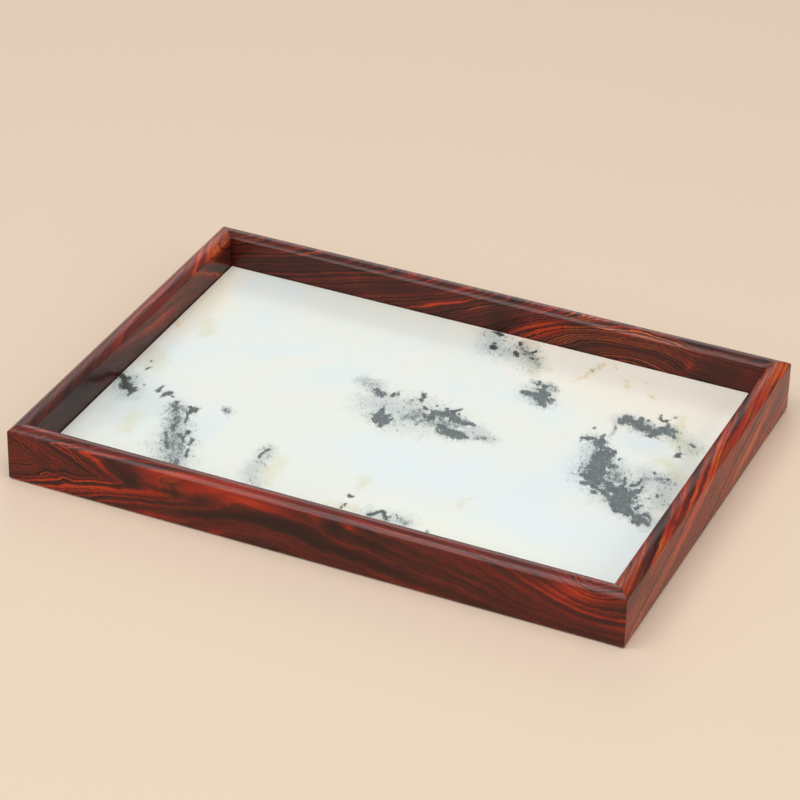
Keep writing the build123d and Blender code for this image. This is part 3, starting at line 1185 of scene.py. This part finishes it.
# The strength, colour, centre and spread of each tint. The last three, pale strips along the left,
# right and back edges, are painted light that lifts the stone where the rails shade it.
tints_and_painted_edge_light = [
    (0.9, (0.88, 0.80, 0.68), (140, 95, 11), (120, 50, 50)),
    (0.9, (0.91, 0.85, 0.74), (60, 122, 11), (120, 22, 50)),
    (0.9, (0.88, 0.78, 0.60), (-172, 76, 11), (26, 60, 50)),
    (0.7, (0.76, 0.84, 0.86), (135, -60, 11), (60, 32, 50)),
    (0.6, (0.74, 0.82, 0.84), (20, -35, 11), (60, 24, 50)),
    (0.7, (0.64, 0.66, 0.58), (154, 18, 11), (12, 50, 50)),
    (0.7, (0.86, 0.88, 0.76), (70, -84, 11), (70, 16, 50)),
    (0.8, (0.62, 0.68, 0.67), (-147, -48, 11), (24, 28, 50)),
    (0.6, (0.70, 0.78, 0.81), (-96, -50, 11), (12, 26, 50)),
    (0.8, (0.68, 0.75, 0.79), (121, 40, 11), (15, 13, 50)),
    # Painted light: pale strips along the left, right and back edges, which lift the stone where the
    # rails shade it
    (0.8, (0.90, 0.91, 0.85), (-167, -20, 11), (9, 100, 50)),
    (0.8, (0.92, 0.91, 0.82), (162, 76, 11), (12, 46, 50)),
    (0.8, (0.93, 0.89, 0.80), (90, 118, 11), (110, 11, 50)),
]
stain_colours = {
    "haze": (0.38, 0.44, 0.45),
    "yellow": (0.66, 0.62, 0.36),
    "rust": (0.74, 0.54, 0.26),
    "veil": (0.20, 0.24, 0.25),
    "broken": (0.12, 0.14, 0.14),
    "black": (0.036, 0.039, 0.030),
}
slate_light = (0.134, 0.164, 0.172)
slate_dark = (0.058, 0.074, 0.076)
# How much noise tears a stain, the depths at which it begins and is full, and its strength
washes = {
    "haze": (0.9, -4.0, 5.0, 0.58),
    "yellow": (1.2, -3.0, 4.0, 0.38),
    "rust": (2.0, 0.0, 5.0, 0.50),
    "veil": (1.4, -3.2, 1.8, 0.42),
}
growths = {
    "broken": (2.2, 1.0, 5.0, 0.85),
    "slate": (1.0, -0.6, 0.9, 0.95),
    "black": (0.9, -0.5, 1.2, 0.88),
}
lobe_tear, feather_tear, crumb_tear = 5, 12, 4
# One over the size of each noise, in millimetres
cloud_scale, tint_scale = 0.016, 0.04
lobe_scale, feather_scale, crumb_scale, speck_scale = 0.16, 0.55, 1.4, 0.65
growth_lean, growth_stretch = 0.3, 0.55
cloud_edge = (0.45, 0.70)
speck_edge = (0.585, 0.62)
speck_strength = 0.7
speck_reach = 3
crumbs_in_streaks = 0.5
streak_edge = (-0.20, 0.24)
stone_roughness = 0.18
stone_gloss_change = 0.10
stone_height_mm = 0.004
stone_ior = 1.22


def marble():
    """The stone with its stains, from the palest at the bottom to the darkest on top."""
    material, bench = new_finish("marble")
    place = place_mm(bench)
    inside = {
        name: bench.add("ShaderNodeAttribute", output="Fac", attribute_name=name) for name in stains
    }
    growth = inside["slate"].math("MAXIMUM", inside["black"])
    inside["veil"] = growth.math("MAXIMUM", inside["broken"])
    clouds = fade(bench, noise(bench, place, cloud_scale, detail=3), *cloud_edge)
    ground = mix(bench, clouds, marble_ground, marble_blue)
    patchy = noise(bench, place, tint_scale, detail=3) - middle
    for share, colour, centre, spread in tints_and_painted_edge_light:
        near = fade(bench, hill(bench, place, centre, spread) + patchy, 0, 1)
        ground = mix(bench, near * share, ground, colour)

    x, y, z = parts_of(bench, place)
    leaning = vector(bench, x + y * growth_lean, y * growth_stretch, z)
    lobes = noise(bench, place, lobe_scale, distortion=0.6) - middle
    feathers = noise(bench, leaning, feather_scale, detail=5, roughness=0.72, distortion=0.5)
    feathers = feathers - middle
    crumbs = noise(bench, place, crumb_scale, roughness=0.7) - middle
    torn = lobes * lobe_tear + feathers * feather_tear + crumbs * crumb_tear
    strewn = fade(bench, inside["haze"] + lobes * feather_tear, -speck_reach, speck_reach)
    specks = noise(bench, leaning, speck_scale, detail=3, roughness=0.7)
    specks = fade(bench, specks, *speck_edge) * strewn * speck_strength
    streaks = fade(bench, feathers + crumbs * crumbs_in_streaks, *streak_edge)
    colours = {**stain_colours, "slate": mix(bench, streaks, slate_light, slate_dark)}

    def stained(ground, layers):
        """The ground with each stain laid over it in turn."""
        for name, (tear, begins, full, strength) in layers.items():
            depth = fade(bench, inside[name] + torn * tear, begins, full)
            ground = mix(bench, depth * strength, ground, colours[name])
        return ground

    ground = stained(ground, washes)
    ground = mix(bench, specks, ground, colours["broken"])
    ground = stained(ground, growths)
    roughness = stone_roughness + lobes * stone_gloss_change
    finish(bench, ground, roughness, lobes, stone_height_mm, stone_ior)
    return material


slab.data.materials.append(marble())
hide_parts("marble_slab")
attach(slab, "root")

# %% [markdown]
# ## The board, the battens and the splines
#
# Nobody sees the underside of a tray on a table, and a joiner uses plain, straight-grained wood
# there. The board is glued up from staves, because a solid board this wide would warp. Each stave
# has its own tone and its own rings, and a hair of glue shows between two of them. The battens lie
# across the staves, and the splines have their grain across the mitre, because a spline with its
# grain along the mitre would split. The wood is only oiled, so it is duller than the rails.

# %% Plain woods
plain_woods = {
    "board": {
        "turn": 0,
        "stave": 54,
        "colours": [(0.060, 0.018, 0.010), (0.150, 0.042, 0.019), (0.260, 0.085, 0.036)],
    },
    "batten": {
        "turn": 90,
        "stave": 400,
        "colours": [(0.050, 0.015, 0.009), (0.120, 0.034, 0.016), (0.210, 0.065, 0.028)],
    },
    "spline": {
        "turn": 45,
        "stave": 400,
        "colours": [(0.230, 0.125, 0.060), (0.400, 0.240, 0.125), (0.540, 0.360, 0.210)],
    },
}
plain_places = (0.25, 0.55, 0.85)
glue_width = 0.25
glue_colour = (0.030, 0.014, 0.008)
# How deep the heart of its tree lies under a stave: this depth, times the sum of the stave's tone
# and the least share, and deeper along the stave by the slope
heart_depth = 30
least_depth_share = 0.3
heart_slope = 0.05
ring_spacing = 3.5
ring_flatness = 3
ring_wobble, wobble_along, wobble_scale = 12, 0.12, 0.08
fibre_along, fibre_across = 0.05, 2.5
pore_along, pore_across, pore_scale = 0.12, 2, 1.6
plain_pore_edge = (0.64, 0.72)
# How far the noise moves on from one stave to the next, so that no two are alike
wobble_step, ring_step, fibre_step = 40, 17, 9
# How strongly the rings, the fibres, the stave's own tone and the pores show
ring_show, fibre_show, tone_show, pore_show = 0.7, 0.45, 0.3, 0.25
oiled_roughness = 0.52
oiled_fibre_roughness, oiled_pore_roughness = 0.25, 0.2
oiled_fibre_height = 0.6
oiled_height_mm = 0.03
dull_ior = 1.42


def plain_wood(name, turn, stave, colours):
    """Straight-grained wood that runs along X, or along a line that is turned from X."""
    material, bench = new_finish(f"{name}_wood")
    rotation = {"Vector": place_mm(bench), "Angle": radians(-turn)}
    place = bench.add("ShaderNodeVectorRotate", rotation, rotation_type="Z_AXIS")
    along, across, up = parts_of(bench, place)
    share = across / stave + 1 / 2
    number = share.math("FLOOR")
    drawn = {"output": "Value", "noise_dimensions": "1D"}
    tone = bench.add("ShaderNodeTexWhiteNoise", {"W": number}, **drawn)
    inside = (share.math("FRACT") - 1 / 2) * stave
    drawn_out = vector(bench, along * wobble_along, across, number * wobble_step)
    wobble = noise(bench, drawn_out, wobble_scale) * ring_wobble
    above_heart = up * ring_flatness + (tone + least_depth_share) * heart_depth
    above_heart = above_heart + along * heart_slope
    from_heart = vector(bench, 0, inside + (tone - middle) * stave, above_heart)
    years = (vector_math(bench, "LENGTH", from_heart) + wobble) / ring_spacing
    rings = line_noise(bench, years + number * ring_step, 1, detail=3, roughness=0.6)
    upwards = up * fibre_across + number * fibre_step
    drawn_out = vector(bench, along * fibre_along, across * fibre_across, upwards)
    fibre = noise(bench, drawn_out, 1, detail=3, roughness=0.6)
    drawn_out = vector(bench, along * pore_along, across * pore_across, up * pore_across)
    pores = fade(bench, noise(bench, drawn_out, pore_scale, detail=1), *plain_pore_edge)
    value = middle + (rings - middle) * ring_show + (fibre - middle) * fibre_show
    value = value + (tone - middle) * tone_show - pores * pore_show
    edge = stave / 2 - inside.math("ABSOLUTE")
    clear_of_glue = fade(bench, edge, glue_width / 2, glue_width)
    oiled = ramp(bench, value, list(zip(plain_places, colours)))
    colour = mix(bench, clear_of_glue, glue_colour, oiled)
    roughness = oiled_roughness + (fibre - middle) * oiled_fibre_roughness
    roughness = roughness + pores * oiled_pore_roughness
    height = fibre * oiled_fibre_height - pores + clear_of_glue
    finish(bench, colour, roughness, height, oiled_height_mm, dull_ior)
    return material


woods = {name: plain_wood(name, **wood) for name, wood in plain_woods.items()}
print("plain woods", list(woods))

# %% [markdown]
# ## Sealant, adhesive and rubber
#
# The joint round the stone is filled with tinted sealant, pressed in and wiped with a wet finger,
# so it is satin with faint drag marks along it. The dabs under the stone are white stone adhesive,
# full of small bubbles and ridges. The pads are soft dark rubber with a dusting of bloom. None of
# the three has a grain: what varies is how the surface was left.

# %% Sealant, adhesive and rubber
sealant_dark = (0.018, 0.013, 0.011)
sealant_worn = (0.050, 0.036, 0.029)
adhesive_clean = (0.74, 0.73, 0.69)
adhesive_shade = (0.58, 0.56, 0.50)
rubber_dark = (0.022, 0.020, 0.019)
rubber_bloom = (0.075, 0.070, 0.065)
# Dimples are this many times finer than the mottle, and patches this many times coarser
dimple_fineness, patch_coarseness = 5, 8
mottle_share, patch_share = 0.6, 0.4
mottle_edge = (0.38, 0.66)
mottle_gloss_change = 0.25
dimple_depth_share = 0.4


def soft_finish(name, first, second, scale, roughness, height_mm):
    """Two tones in a fine mottle, with its dimples."""
    material, bench = new_finish(name)
    place = place_mm(bench)
    mottle = noise(bench, place, scale, detail=4, roughness=0.65)
    dimples = noise(bench, place, scale * dimple_fineness)
    patches = noise(bench, place, scale / patch_coarseness, detail=3)
    share = fade(bench, mottle * mottle_share + patches * patch_share, *mottle_edge)
    colour = mix(bench, share, first, second)
    gloss = roughness + (mottle - middle) * mottle_gloss_change
    height = mottle + dimples * dimple_depth_share
    finish(bench, colour, gloss, height, height_mm, dull_ior)
    return material


soft_finishes = {
    "sealant": soft_finish("sealant", sealant_dark, sealant_worn, 0.8, 0.42, 0.05),
    "adhesive": soft_finish("adhesive", adhesive_clean, adhesive_shade, 0.5, 0.55, 0.10),
    "rubber": soft_finish("rubber", rubber_dark, rubber_bloom, 1.1, 0.72, 0.03),
}

# %% Finishes of the pieces that keep their shape
corner_names = ("front_left", "front_right", "back_left", "back_right")
kept_pieces = {
    "bottom_board": woods["board"],
    "left_batten": woods["batten"],
    "right_batten": woods["batten"],
    **{f"mitre_spline_{corner}": woods["spline"] for corner in corner_names},
    "edge_sealant": soft_finishes["sealant"],
    "adhesive_dabs": soft_finishes["adhesive"],
}
for node, material in kept_pieces.items():
    for material_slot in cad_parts[node].material_slots:
        material_slot.material = material
    print(node, "in", material.name)

# %% [markdown]
# ## The pads
#
# Four small rubber pads keep the tray off the table. Each is moulded with fine rings in its face,
# which grip better than a flat face does and let it be peeled off without suction. The tree starts
# from a disc with many rings of points. It rounds the lower edge and presses the grooves up into
# the face, so the ridges between them still touch the table.

# %% Ribbed pad tree
pad_edge_radius = 0.3
pad_groove_spacing = 1.0
pad_groove_depth = 0.16
pad_points_round = 48
pad_rings = 30
pad_smooth_below = 50


def pad_tree():
    """A disc on the table, with its lower edge rounded and rings pressed into its face."""
    tree, bench, given = group_tree("ribbed_pad", [
        ("Geometry", "NodeSocketGeometry"),
        ("Centre", "NodeSocketVector"),
        ("Radius", "NodeSocketFloat"),
        ("Height", "NodeSocketFloat"),
        ("Edge radius", "NodeSocketFloat"),
        ("Groove spacing", "NodeSocketFloat"),
        ("Groove depth", "NodeSocketFloat"),
        ("Finish", "NodeSocketMaterial"),
    ])
    radius, edge = given["Radius"], given["Edge radius"]
    disc = bench.add("GeometryNodeMeshCylinder", {
        "Vertices": pad_points_round,
        "Fill Segments": pad_rings,
        "Radius": radius,
        "Depth": given["Height"],
    })
    x, y, z = parts_of(bench, bench.add("GeometryNodeInputPosition"))
    out = (x * x + y * y).math("SQRT")
    turned = ((out - radius + edge) / edge).math("MAXIMUM", 0).math("MINIMUM", 1)
    rounded = (1 - (1 - turned * turned).math("SQRT")) * edge
    wave = (1 - (out * radians(360) / given["Groove spacing"]).math("COSINE")) / 2
    groove = wave * given["Groove depth"] * turned.math("LESS_THAN", hair)
    lifted = vector(bench, 0, 0, (rounded + groove) * z.math("LESS_THAN", 0))
    disc = bench.add("GeometryNodeSetPosition", {"Geometry": disc, "Offset": lifted})
    moved = {"Geometry": disc, "Translation": given["Centre"]}
    disc = bench.add("GeometryNodeTransform", moved)
    close_tree(bench, disc, pad_smooth_below, given["Finish"])
    return tree


# %% Pads
ribbed_pad = pad_tree()
for corner in corner_names:
    node = f"pad_{corner}"
    pad_low, pad_high = box_mm(node)
    pad = grow(f"ribbed_{node}", ribbed_pad, {
        "Centre": [value * MM for value in (pad_low + pad_high) / 2],
        "Radius": (pad_high[0] - pad_low[0]) / 2 * MM,
        "Height": (pad_high[2] - pad_low[2]) * MM,
        "Edge radius": pad_edge_radius * MM,
        "Groove spacing": pad_groove_spacing * MM,
        "Groove depth": pad_groove_depth * MM,
        "Finish": soft_finishes["rubber"],
    })
    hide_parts(node)
    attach(pad, "root")
    report(pad)
